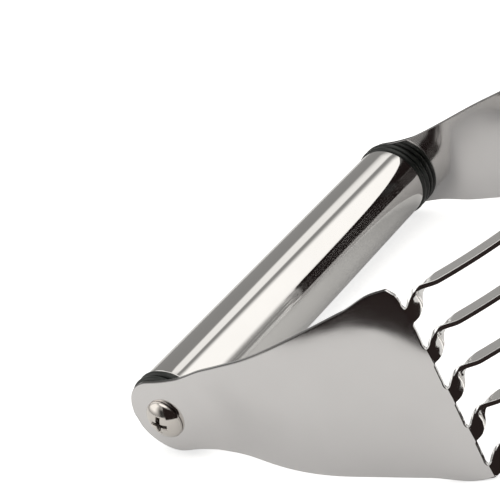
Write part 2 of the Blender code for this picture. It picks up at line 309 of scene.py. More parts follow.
def smooth_curve(at: np.ndarray, knots: tuple[tuple[float, float], ...]) -> np.ndarray:
    """Follows knots by a monotone cubic curve, which never swings past them.

    Args:
        at: Places to read the curve at.
        knots: Pairs of place and value, in order.

    Returns:
        The values.
    """
    x, y = np.array(knots).T
    step = np.diff(x)
    slope = np.diff(y) / step
    before, after = slope[:-1], slope[1:]
    same = before * after > 0
    inner = np.where(same, 2 * before * after / np.where(same, before + after, 1.0), 0.0)
    tangent = np.concatenate([[slope[0]], inner, [slope[-1]]])
    at = np.clip(at, x[0], x[-1])
    cell = np.clip(np.searchsorted(x, at, side="right") - 1, 0, len(step) - 1)
    t = (at - x[cell]) / step[cell]
    return (
        y[cell] * (2 * t**3 - 3 * t**2 + 1)
        + tangent[cell] * step[cell] * (t**3 - 2 * t**2 + t)
        + y[cell + 1] * (3 * t**2 - 2 * t**3)
        + tangent[cell + 1] * step[cell] * (t**3 - t**2)
    )


def smooth_step(t: np.ndarray) -> np.ndarray:
    """Rises from 0 to 1 with level ends as t goes from 0 to 1."""
    t = np.clip(t, 0.0, 1.0)
    return t * t * (3 - 2 * t)


# ---------------------------------------------------------------------------------------------------------------
# Finishes.

# Limits between which nearly all of a noise texture's values lie.
NOISE_SPAN = (0.3, 0.7)

class Nodes:
    """A short hand for laying out the nodes of a material or a node group."""

    def __init__(self, tree: bpy.types.NodeTree) -> None:
        """Starts on an empty tree."""
        self.tree = tree
        tree.nodes.clear()

    def add(self, kind: str, inputs: dict[str, object] | None = None, **settings: object) -> bpy.types.Node:
        """Adds one node, sets its properties and fills or links its inputs.

        Args:
            kind: Node type, without the ShaderNode prefix.
            inputs: Values or output sockets by input name or number.
            settings: Properties of the node.

        Returns:
            The node.
        """
        node = self.tree.nodes.new(kind if kind.startswith("Node") else f"ShaderNode{kind}")
        for key, value in settings.items():
            setattr(node, key, value)
        for key, value in (inputs or {}).items():
            socket = node.inputs[key]
            if isinstance(value, bpy.types.NodeSocket):
                self.tree.links.new(value, socket)
            else:
                socket.default_value = value
        return node

    def noise(self, vector: bpy.types.NodeSocket, scale: float, detail: float = 3.0) -> bpy.types.NodeSocket:
        """Adds a noise texture and returns its value."""
        return self.add("TexNoise", {"Vector": vector, "Scale": scale, "Detail": detail}).outputs[0]

    def spread(
        self, value: bpy.types.NodeSocket, low: float, high: float, start: float, stop: float
    ) -> bpy.types.NodeSocket:
        """Carries a value from the range low..high to start..stop, held at the ends."""
        inputs = {"Value": value, "From Min": low, "From Max": high, "To Min": start, "To Max": stop}
        return self.add("MapRange", inputs).outputs[0]

    def math(self, operation: str, *values: object) -> bpy.types.NodeSocket:
        """Adds a math node on up to three values and returns its result."""
        return self.add("Math", dict(enumerate(values)), operation=operation).outputs[0]

    def window(self, value: bpy.types.NodeSocket, span: tuple[float, float], blur: float) -> bpy.types.NodeSocket:
        """Makes a mask that is 1 inside a span of a value and falls smoothly to 0 outside it.

        Args:
            value: The value to mask by.
            span: Where the mask starts and stops.
            blur: Half the width of the fall at each side.

        Returns:
            The mask.
        """
        low, high = span
        rise = {"Value": value, "From Min": low - blur, "From Max": low + blur}
        fall = {"Value": value, "From Min": high - blur, "From Max": high + blur, "To Min": 1.0, "To Max": 0.0}
        sides = [self.add("MapRange", side, interpolation_type="SMOOTHSTEP").outputs[0] for side in (rise, fall)]
        return self.math("MULTIPLY", *sides)

    def link(self, output: bpy.types.NodeSocket, socket: bpy.types.NodeSocket) -> None:
        """Links an output to a socket."""
        self.tree.links.new(output, socket)

    def mix(self, share: object, first: object, second: object) -> bpy.types.NodeSocket:
        """Adds a mix of two colours by a share of the second and returns its colour."""
        inputs = {"Factor": share, "A": first, "B": second}
        return self.add("Mix", inputs, data_type="RGBA").outputs["Result"]

    def bump(self, height: bpy.types.NodeSocket, strength: float, distance: float) -> bpy.types.NodeSocket:
        """Adds a bump of a height and returns its normal."""
        return self.add("Bump", {"Strength": strength, "Distance": distance, "Height": height}).outputs[0]

    def fac(self, attribute: str) -> bpy.types.NodeSocket:
        """Reads an attribute of the mesh's points as a value."""
        return self.add("Attribute", attribute_name=attribute).outputs["Fac"]

    def stretch(self, vector: bpy.types.NodeSocket, scale: tuple[float, float, float]) -> bpy.types.NodeSocket:
        """Scales a coordinate along its three axes."""
        return self.add("Mapping", {"Vector": vector, "Scale": scale}).outputs[0]


def make_group(name: str, inputs: dict[str, tuple[str, object]], outputs: tuple[str, ...]) -> tuple:
    """Makes an empty shader node group with named sockets.

    Args:
        name: Name of the group.
        inputs: Socket type and default value by name.
        outputs: Names of the value outputs.

    Returns:
        The group, its Nodes helper, its input node and its output node.
    """
    group = bpy.data.node_groups.new(name, "ShaderNodeTree")
    for key, (kind, value) in inputs.items():
        socket = group.interface.new_socket(key, in_out="INPUT", socket_type=kind)
        if value is not None:
            socket.default_value = value
    for key in outputs:
        group.interface.new_socket(key, in_out="OUTPUT", socket_type="NodeSocketFloat")
    nodes = Nodes(group)
    return group, nodes, nodes.add("NodeGroupInput"), nodes.add("NodeGroupOutput")


def grain_group() -> bpy.types.NodeTree:
    """Makes the group for drawn metal: long fine streaks along the first axis and soft cloudy unevenness.

    Returns:
        The group, with outputs Streaks and Clouds from 0 to 1.
    """
    group, nodes, given, out = make_group(
        "drawn_grain",
        {"Vector": ("NodeSocketVector", None), "Fineness": ("NodeSocketFloat", 9000.0)},
        ("Streaks", "Clouds"),
    )
    long = nodes.stretch(given.outputs["Vector"], (0.035, 1.0, 1.0))
    streaks = nodes.add("TexNoise", {"Vector": long, "Scale": given.outputs["Fineness"], "Detail": 4.0})
    clouds = nodes.add("TexNoise", {"Vector": given.outputs["Vector"], "Scale": 85.0, "Detail": 5.0})
    nodes.link(streaks.outputs[0], out.inputs["Streaks"])
    nodes.link(clouds.outputs[0], out.inputs["Clouds"])
    return group


def marks_group() -> bpy.types.NodeTree:
    """Makes the group for signs of use: sparse hairline scratches in two directions and faint finger smudges.

    Returns:
        The group, with outputs Scratches and Smudges from 0 to 1.
    """
    group, nodes, given, out = make_group(
        "handling_marks", {"Vector": ("NodeSocketVector", None)}, ("Scratches", "Smudges")
    )
    masks = []
    for angle, seed in ((0.5, 3.0), (-0.9, 11.0)):
        lines = {
            "Vector": given.outputs["Vector"],
            "Rotation": (0, 0, angle),
            "Scale": (60, 2600, 60),
            "Location": (seed, seed, 0),
        }
        turned = nodes.add("Mapping", lines).outputs[0]
        masks.append(nodes.spread(nodes.noise(turned, 1.0, 2.0), 0.70, 0.76, 0.0, 1.0))
    smudge = nodes.noise(given.outputs["Vector"], 55.0, 4.0)
    nodes.link(nodes.math("MAXIMUM", *masks), out.inputs["Scratches"])
    nodes.link(nodes.spread(smudge, 0.45, 0.75, 0.0, 1.0), out.inputs["Smudges"])
    return group


@dataclass(frozen=True)
class Finish:
    """A finish: what its shader's plain sockets say, and a method that lays out the rest."""

    name: str
    colour: tuple[float, float, float]
    roughness: float
    metallic: float = 1.0

    def build(self) -> bpy.types.Material:
        """Makes the material.

        Returns:
            The material, with its nodes laid out.
        """
        material = bpy.data.materials.new(self.name)
        material.use_nodes = True
        material.diffuse_color = (*self.colour, 1.0)
        nodes = Nodes(material.node_tree)
        shader = nodes.add(
            "BsdfPrincipled",
            {"Base Color": (*self.colour, 1.0), "Roughness": self.roughness, "Metallic": self.metallic},
        )
        out = nodes.add("OutputMaterial")
        nodes.link(shader.outputs[0], out.inputs["Surface"])
        self.dress(nodes, shader)
        return material

    def dress(self, nodes: Nodes, shader: bpy.types.Node) -> None:
        """Adds the surface's own detail; a plain finish has none."""

    def tint(self, share: float) -> tuple[float, float, float, float]:
        """Returns the finish's colour times a share, as the shader takes it."""
        return (*(min(1.0, channel * share) for channel in self.colour), 1.0)


@dataclass(frozen=True)
class Steel(Finish):
    """Sheet or tube steel: drawn grain, clouds, hairlines and smudges, a polished rim at slots painted brighter as a
    painted highlight, and a band at sides painted dark as a painted shade.
    """

    fineness: float = 9000.0
    streak_depth: float = 0.15
    cloud_depth: float = 0.5
    scratch_depth: float = 0.06
    uneven: float = 0.08
    scratch: float = 0.10
    cloud_tones: tuple[float, float] = (0.96, 1.04)
    rim_polish: float = 0.3
    rim_highlight_tone: float = 1.5
    rim_highlight_span: tuple[float, float] = (0.80, 0.98)
    edge_shade_tone: float = 0.16
    edge_shade_span: tuple[float, float] = (0.72, 0.98)

    def dress(self, nodes: Nodes, shader: bpy.types.Node) -> None:
        """Feeds roughness, base colour and bump from grain and marks on the unrolled surface.

        Args:
            nodes: Helper of the material's tree.
            shader: The material's shader.
        """
        where = nodes.add("UVMap", uv_map="unrolled").outputs[0]
        grain = nodes.add("Group", {"Vector": where}, node_tree=bpy.data.node_groups["drawn_grain"])
        grain.inputs["Fineness"].default_value = self.fineness
        marks = nodes.add("Group", {"Vector": where}, node_tree=bpy.data.node_groups["handling_marks"])
        clouds, streaks = grain.outputs["Clouds"], grain.outputs["Streaks"]
        scratches, smudges = marks.outputs["Scratches"], marks.outputs["Smudges"]
        rim, half = nodes.fac("rim"), self.uneven / 2
        base = nodes.spread(clouds, *NOISE_SPAN, self.roughness - half, self.roughness + half)
        fine = nodes.spread(streaks, *NOISE_SPAN, -self.uneven / 3, self.uneven / 3)
        rough = nodes.math("ADD", base, fine)
        rough = nodes.math("MULTIPLY_ADD", smudges, half, rough)
        rough = nodes.math("MULTIPLY_ADD", scratches, self.scratch, rough)
        rough = nodes.math("MULTIPLY_ADD", rim, -self.roughness * self.rim_polish, rough)
        nodes.link(rough, shader.inputs["Roughness"])
        tone = nodes.mix(clouds, *(self.tint(share) for share in self.cloud_tones))
        # Painted shade: a dark band along the sheet's sides and round end, standing in for the dark reflection in the
        # edge's bevel.
        edge_shade = nodes.spread(nodes.fac("dull_rim"), *self.edge_shade_span, 0.0, 1.0)
        tone = nodes.mix(edge_shade, tone, self.tint(self.edge_shade_tone))
        # Painted highlight: the rim's base colour is raised by half, standing in for a bright reflection on slot
        # walls, blade edges and tube lips.
        tone = nodes.mix(nodes.spread(rim, *self.rim_highlight_span, 0.0, 1.0), tone, self.tint(self.rim_highlight_tone))
        nodes.link(tone, shader.inputs["Base Color"])
        height = nodes.math("MULTIPLY", clouds, self.cloud_depth)
        height = nodes.math("MULTIPLY_ADD", streaks, self.streak_depth, height)
        height = nodes.math("MULTIPLY_ADD", scratches, -self.scratch_depth, height)
        nodes.link(nodes.bump(height, 0.25, 0.00002), shader.inputs["Normal"])


@dataclass(frozen=True)
class Rubber(Finish):
    """Moulded rubber: matt skin with a fine tooth, and a painted sheen that lightens its crown in cloudy patches."""

    crown_sheen_tones: tuple[float, float] = (0.75, 1.9)

    def dress(self, nodes: Nodes, shader: bpy.types.Node) -> None:
        """Feeds base colour from the painted crown sheen, roughness from clouds, and bump from the tooth.

        Args:
            nodes: Helper of the material's tree.
            shader: The material's shader.
        """
        where = nodes.add("TexCoord").outputs["Object"]
        cloud = nodes.noise(where, 240.0, 5.0)
        # Painted sheen: the crown is painted lighter in cloudy patches, standing in for the bead's soft highlight.
        sheen = nodes.math("MULTIPLY", nodes.fac("crown"), nodes.spread(cloud, 0.35, 0.7, 0.0, 1.0))
        nodes.link(nodes.mix(sheen, *(self.tint(share) for share in self.crown_sheen_tones)), shader.inputs["Base Color"])
        rough = nodes.spread(cloud, *NOISE_SPAN, self.roughness - 0.07, self.roughness + 0.08)
        nodes.link(rough, shader.inputs["Roughness"])
        nodes.link(nodes.bump(nodes.noise(where, 5200.0, 2.0), 0.35, 0.00003), shader.inputs["Normal"])


@dataclass(frozen=True)
class ScrewSteel(Finish):
    """Bright screw steel whose recess is painted dark brown: a painted shade, darkest where the recess sinks deepest.
    """

    recess_shade: tuple[float, float, float] = (0.045, 0.022, 0.012)
    recess_shade_span: tuple[float, float] = (0.24, 0.60)
    recess_shade_ragged: float = 0.2
    recess_shade_roughness: float = 0.4
    recess_shade_metallic: float = 0.2

    def dress(self, nodes: Nodes, shader: bpy.types.Node) -> None:
        """Mixes the painted recess shade in by the recess attribute, with a ragged edge, and breaks up the gloss.

        Args:
            nodes: Helper of the material's tree.
            shader: The material's shader.
        """
        where = nodes.add("TexCoord").outputs["Object"]
        cloud = nodes.noise(where, 900.0, 4.0)
        ragged = nodes.spread(cloud, *NOISE_SPAN, -self.recess_shade_ragged, self.recess_shade_ragged)
        # Painted shade: the recess is painted dark brown, darker the deeper it sinks, and loses gloss and metal
        # there.
        mask = nodes.spread(nodes.math("ADD", ragged, nodes.fac("recess")), *self.recess_shade_span, 0.0, 1.0)
        nodes.link(nodes.mix(mask, self.tint(1.0), (*self.recess_shade, 1.0)), shader.inputs["Base Color"])
        clean = nodes.spread(cloud, *NOISE_SPAN, self.roughness - 0.03, self.roughness + 0.05)
        rough = nodes.math("MULTIPLY_ADD", mask, self.recess_shade_roughness, clean)
        nodes.link(rough, shader.inputs["Roughness"])
        nodes.link(nodes.spread(mask, 0.0, 1.0, 1.0, self.recess_shade_metallic), shader.inputs["Metallic"])
        nodes.link(nodes.bump(nodes.noise(where, 3500.0, 2.0), 0.12, 0.00002), shader.inputs["Normal"])


@dataclass(frozen=True)
class Plastic(Finish):
    """Moulded plastic with a faint orange-peel skin."""

    tones: tuple[float, float] = (0.85, 1.15)

    def dress(self, nodes: Nodes, shader: bpy.types.Node) -> None:
        """Feeds roughness, tone and bump from noise.

        Args:
            nodes: Helper of the material's tree.
            shader: The material's shader.
        """
        where = nodes.add("TexCoord").outputs["Object"]
        cloud = nodes.noise(where, 400.0, 4.0)
        nodes.link(nodes.mix(cloud, *(self.tint(share) for share in self.tones)), shader.inputs["Base Color"])
        rough = nodes.spread(cloud, *NOISE_SPAN, self.roughness - 0.06, self.roughness + 0.06)
        nodes.link(rough, shader.inputs["Roughness"])
        nodes.link(nodes.bump(nodes.noise(where, 2600.0, 2.0), 0.3, 0.00004), shader.inputs["Normal"])


# ---------------------------------------------------------------------------------------------------------------
# The stamped sheet: two side plates and the blades between them.


@dataclass(frozen=True)
class Sheet:
    """The bent blank: its outline, its bends and its blade roots."""

    gauge: float = 0.0010
    end_radius: float = 0.00968
    end_shift: float = -0.00028
    flat_length: float = 0.0160
    length: float = 0.0789
    crease: float = 0.0793
    face: float = 0.0531
    blades: int = 5
    pitch: float = 0.00938
    root_shift: float = 0.00140
    root_width: float = 0.0034
    corner_length: float = 0.0773
    corner_across: float = 0.0223
    shoulder_across: float = 0.0207
    shoulder_drop: float = 0.0004
    notch_radius: float = 0.0010
    slot_drop: float = 0.0002
    slot_slant: float = 0.0001
    slot_corner: float = 0.0004
    widths: tuple[tuple[float, float], ...] = (
        (0.0, 0.00968), (0.005, 0.00948), (0.010, 0.00968), (0.014, 0.01035), (0.018, 0.01118),
        (0.023, 0.01212), (0.030, 0.01345), (0.038, 0.01480), (0.046, 0.01630), (0.054, 0.01785),
        (0.064, 0.01990), (0.072, 0.02145), (0.0793, 0.02320),
    )
    bends: tuple[tuple[float, float], ...] = (
        (0.0160, 0.0), (0.0235, -10.5), (0.0290, -9.0), (0.0356, -4.6), (0.0428, 3.8),
        (0.0500, 10.2), (0.0570, 11.4), (0.0640, 11.4), (0.0710, 13.6), (0.0787, 18.5),
    )

    def profile(self, samples: int = 600) -> tuple[np.ndarray, np.ndarray, np.ndarray, np.ndarray]:
        """Adds up the bend angle along the blank: x loses its sine and depth gains its cosine.

        Args:
            samples: Steps along the blank.

        Returns:
            Lengths along the blank, x of the inner face, depth and angle.
        """
        run = np.linspace(0.0, self.crease, samples)
        angle = np.radians(smooth_curve(run, self.bends))
        angle[run <= self.flat_length] = 0.0
        step = np.diff(run)
        sine, cosine = ((f(angle[1:]) + f(angle[:-1])) / 2 for f in (np.sin, np.cos))
        x = self.face - np.concatenate([[0.0], np.cumsum(sine * step)])
        depth = np.concatenate([[0.0], np.cumsum(cosine * step)])
        return run, x, depth, angle

    def fold(self, end: End, along: np.ndarray, across: np.ndarray, out: float) -> tuple:
        """Carries a place on the blank to the handle's own frame.

        Args:
            end: Which end of the handle the plate is at.
            along: Length along the blank from the screw.
            across: Distance across the blank.
            out: Distance outwards from the inner face.

        Returns:
            The arrays x, y and depth.
        """
        run, x, depth, angle = self.profile()
        held = np.maximum(along, 0.0)
        lean = np.interp(held, run, angle)
        px = np.interp(held, run, x) + out * np.cos(lean)
        pd = np.interp(held, run, depth) + np.minimum(along, 0.0) + out * np.sin(lean)
        return end.value * px, across, pd

    def root(self, index: int) -> tuple[float, float]:
        """Returns where a blade's root starts and stops across the blank."""
        start = self.plane(index) + self.root_shift
        return start, min(start + self.root_width, smooth_curve(np.array([self.crease]), self.widths)[0])

    def plane(self, index: int) -> float:
        """Returns the place across of the plane that a blade stands in."""
        return (index - (self.blades - 1) / 2) * self.pitch

    def blade_edge(self) -> np.ndarray:
        """Lists the plate's blade edge as points of across and along.

        Each slot bottom slants down from the last root's corner to a round notch, and then rises as a quarter of a
        circle to the start of the next root, where the sheet goes on to the crease.

        Returns:
            The points, by two, in order across the plate.
        """
        floor = self.length - self.slot_drop
        rise = self.crease - floor
        shoulder = self.length - self.shoulder_drop
        points = [(-self.corner_across, self.corner_length), (-self.shoulder_across, shoulder)]
        quarter = np.linspace(-math.pi / 2, 0.0, 5)
        for index in range(self.blades):
            start, stop = self.root(index)
            turn = start - self.notch_radius
            points.append((points[-1][0] * 0.15 + turn * 0.85, floor + self.slot_slant))
            points += [(turn + self.notch_radius * math.cos(a), floor + rise * (1 + math.sin(a))) for a in quarter]
            points += [(start + (stop - start) * t, self.crease) for t in (0.35, 0.7, 1.0)]
            points.append((stop + self.slot_corner, self.length + self.slot_slant))
        return np.array(points[:-1])


@dataclass
class SidePlate:
    """One side plate with its round end, flared sides, bends, slots and notches."""

    lay: Lay
    sheet: Sheet
    end: End
    round_rows: int = 14
    flat_rows: int = 12
    bent_rows: int = 96
    edge_step: float = 0.0011
    ease_from: float = 0.066
    shift_length: float = 0.03
    tip_angle: float = 0.12
    rim: float = 0.0006
    edge_round: float = 0.00022
    edge_segments: int = 3
    edge_angle: float = math.radians(50)

    def grid(self) -> tuple[np.ndarray, np.ndarray]:
        """Lays a grid over the flat blank: rows along it, columns from one side to the other.

        Row by row, across is the column's share of the half width there, moved aside a little at the round end.
        Towards the blade edge each column is stretched to end on the edge's own line.

        Returns:
            The arrays along and across, rows by columns.
        """
        sheet = self.sheet
        edge = sheet.blade_edge()
        half = smooth_curve(np.array([sheet.crease]), sheet.widths)[0]
        fine = []
        for (y0, s0), (y1, s1) in zip(edge[:-1], edge[1:]):
            count = max(1, round(abs(y1 - y0) / self.edge_step))
            fine += [(y0 + (y1 - y0) * t, s0 + (s1 - s0) * t) for t in np.arange(count) / count]
        fine.append(tuple(edge[-1]))
        fine = np.array(fine)
        share = fine[:, 0] / half
        share[0], share[-1] = -1.0, 1.0
        cap = -sheet.end_radius * np.cos(np.linspace(self.tip_angle, math.pi / 2, self.round_rows))
        rows = np.concatenate(
            [
                cap,
                np.linspace(0.0, sheet.flat_length, self.flat_rows + 1)[1:],
                np.linspace(sheet.flat_length, sheet.crease, self.bent_rows + 1)[1:],
            ]
        )
        width = np.where(
            rows < 0,
            np.sqrt(np.maximum(sheet.end_radius**2 - np.minimum(rows, 0.0) ** 2, 0.0)),
            smooth_curve(rows, sheet.widths),
        )
        blend = smooth_step((rows - self.ease_from) / (sheet.crease - self.ease_from))[:, None]
        along = rows[:, None] * (1 - blend) + blend * rows[:, None] * fine[None, :, 1] / sheet.crease
        shift = sheet.end_shift * (1 - smooth_step(rows / self.shift_length))
        across = width[:, None] * share[None, :] + shift[:, None]
        across = across * (1 - blend) + blend * fine[None, :, 0]
        return along, across

    def build(self, material: bpy.types.Material) -> bpy.types.Object:
        """Bends the grid, gives it the gauge and rounds its edges.

        Args:
            material: Finish of the sheet.

        Returns:
            The plate.
        """
        name = f"{self.end.name.lower()}_side_plate"
        along, across = self.grid()
        points = self.lay.place(*self.sheet.fold(self.end, along, across, 0.0))
        # Bands for the finish: by the slot walls a painted highlight, and along the sides and round end a painted
        # dark edge shade.
        slots = np.abs(along[-1:] - along)
        sides = np.minimum(np.abs(across - across[:, :1]), np.abs(across[:, -1:] - across))
        sides = np.minimum(sides, np.abs(along - along[:1]))
        rims = {key: np.clip(1 - gap / self.rim, 0.0, 1.0) for key, gap in (("rim", slots), ("dull_rim", sides))}
        mesh = close_mesh(sheet_mesh(name, points, np.stack([along, across], axis=-1), rims), outward=False)
        item = show(name, mesh, material)
        normal = np.array([p.normal for p in mesh.polygons]).mean(axis=0)
        solid = item.modifiers.new("gauge", "SOLIDIFY")
        solid.thickness = self.sheet.gauge
        outward = bool(normal[0] * self.end.value > 0)
        solid.offset = 1.0 if outward else -1.0
        solid.use_flip_normals = not outward
        bevel = item.modifiers.new("rolled_edge", "BEVEL")
        bevel.width = self.edge_round
        bevel.segments = self.edge_segments
        bevel.limit_method = "ANGLE"
        bevel.use_clamp_overlap = False
        bevel.angle_limit = self.edge_angle
        bevel.harden_normals = True
        return settle(item, "blade_frame", Slot.SHEET, f"side_plate_{self.end.name.lower()}")


@dataclass
class Blade:
    """One blade: it leaves both plates flat, turns on edge by a quarter and runs on an arc between them."""

    lay: Lay
    sheet: Sheet
    index: int
    height: float = 0.0037
    radius: float = 0.0653
    centre: float = 0.0341
    join: float = math.radians(44.77)
    tuck: float = 0.0004
    leave: float = 0.0009
    approach: float = 0.0020
    swing: float = -0.00086
    swing_back: float = math.radians(4.0)
    twist_before: float = 0.0020
    twist_length: float = 0.0099
    lead: float = 0.55
    lead_at: float = 0.00245
    lead_spread: float = 0.00206
    lead_start: float = 0.001
    twist_rows: int = 36
    arc_rows: int = 76
    corner: float = 0.00018

    def front(self) -> np.ndarray:
        """Follows the blade's front edge from the near root to its middle.

        A cubic curve leaves the crease, swings a little past the blade's plane and meets the arc along its tangent.
        On the arc the edge eases back into the plane by a smooth step.

        Returns:
            The points, as x, across and depth.
        """
        sheet = self.sheet
        plane = sheet.plane(self.index)
        _, x, depth, angle = sheet.profile()
        lean = float(angle[-1])
        along = np.array([math.sin(lean), 0.0, math.cos(lean)])
        outward = np.array([-math.cos(lean), 0.0, math.sin(lean)])
        start = np.array([-x[-1], sheet.root(self.index)[0], depth[-1]])
        start = start + outward * sheet.gauge / 2 - along * self.tuck
        heading = np.array([math.cos(self.join), 0.0, math.sin(self.join)])
        stop = self.arc(np.array([self.join]))[0] + np.array([0.0, self.swing, 0.0])
        t = np.linspace(0.0, 1.0, self.twist_rows)[:, None]
        near, far = start + along * self.leave, stop - heading * self.approach
        curve = (1 - t) ** 3 * start + 3 * (1 - t) ** 2 * t * near + 3 * (1 - t) * t**2 * far + t**3 * stop
        angle = np.linspace(self.join, 0.0, self.arc_rows)[1:]
        arc = self.arc(angle)
        arc[:, 1] = plane + self.swing * (1 - smooth_step((self.join - angle) / self.swing_back))
        return np.concatenate([curve, arc])

    def arc(self, angle: np.ndarray) -> np.ndarray:
        """Returns points of the arc in the blade's plane at angles from its lowest point."""
        plane = np.full_like(angle, self.sheet.plane(self.index))
        return np.stack([-self.radius * np.sin(angle), plane, self.centre + self.radius * np.cos(angle)], axis=1)

    def spine(self) -> dict[str, np.ndarray]:
        """Follows the front edge and works out how the strip stands on it.

        The strip turns by a quarter over a set length. While it turns its back edge runs ahead of the front edge, by
        a bell curve.

        Returns:
            The front edge, the strip's width direction times its width, and its thickness direction.
        """
        front = self.front()
        run = np.concatenate([[0.0], np.cumsum(np.linalg.norm(np.diff(front, axis=0), axis=1))])
        rate = np.gradient(front, axis=0) * np.array([1.0, 0.0, 1.0])
        rate /= np.linalg.norm(rate, axis=1, keepdims=True)
        inward = np.stack([rate[:, 2], rate[:, 1], -rate[:, 0]], axis=1)
        across = np.array([0.0, 1.0, 0.0])
        begin = smooth_step(self.twist_before / (self.twist_length + self.twist_before))
        turn = smooth_step((run + self.twist_before) / (self.twist_length + self.twist_before))
        turn = (turn - begin) / (1 - begin)
        cosine, sine = (f(turn * math.pi / 2)[:, None] for f in (np.cos, np.sin))
        ahead = self.lead * np.exp(-(((run - self.lead_at) / self.lead_spread) ** 2))
        ahead = ahead * smooth_step(run / self.lead_start)
        first, last = self.sheet.root(self.index)
        width = (last - first) * (1 - turn) + self.height * turn
        reach = (cosine * across + sine * inward + ahead[:, None] * rate) * width[:, None]
        return {"front": front, "reach": reach, "rise": sine * across - cosine * inward}

    def build(self, material: bpy.types.Material) -> bpy.types.Object:
        """Carries a rectangle with rounded corners along the spine and mirrors it to the far root.

        Args:
            material: Finish of the blade.

        Returns:
            The blade.
        """
        spine = self.spine()
        section = self.section()
        near = (
            spine["front"][:, None]
            + spine["reach"][:, None] * section[None, :, :1]
            + spine["rise"][:, None] * section[None, :, 1:] * self.sheet.gauge / 2
        )
        far = near[::-1][1:] * np.array([-1.0, 1.0, 1.0])
        whole = np.concatenate([near, far])
        run = np.concatenate([[0.0], np.cumsum(np.linalg.norm(np.diff(whole[:, 0], axis=0), axis=1))])
        lap = np.linspace(0.0, 2 * (self.height + self.sheet.gauge), len(section) + 1)
        flat = np.stack(np.broadcast_arrays(run[:, None], lap[None, :]), axis=-1)
        points = self.lay.place(whole[..., 0], whole[..., 1], whole[..., 2])
        points, flat = capped(points, flat)
        # rim marks the strip's narrow edges, which the finish polishes and paints brighter as a painted highlight.
        rim = np.broadcast_to(np.abs(section[:, 1]) < 0.9, points.shape[:2]).astype(float)
        name = f"cutting_blade_{self.index + 1}"
        mesh = close_mesh(sheet_mesh(name, points, flat, {"rim": rim}, around=True))
        return settle(show(name, mesh, material), "blade_frame", Slot.BLADE, f"blade_{self.index + 1}")

    def section(self) -> np.ndarray:
        """Lists the strip's section: shares of its width from the front edge, and of half its gauge.

        Returns:
            The points, by two, round a rectangle with rounded corners.
        """
        lead, half = self.corner / self.height, self.corner / (self.sheet.gauge / 2)
        quarter = np.linspace(0.0, math.pi / 2, 4)
        outer, inner = np.array([(0.66, 1.0), (0.33, 1.0)]), np.array([(0.33, -1.0), (0.66, -1.0)])
        corners = []
        middles = ((1 - lead, 1 - half), (lead, 1 - half), (lead, half - 1), (1 - lead, half - 1))
        for side, (wide, thick) in enumerate(middles):
            angle = quarter + side * math.pi / 2
            corners.append(np.stack([wide + lead * np.cos(angle), thick + half * np.sin(angle)], axis=1))
            corners += {0: [outer], 2: [inner]}.get(side, [])
        return np.concatenate(corners)


# ---------------------------------------------------------------------------------------------------------------
# The handle.


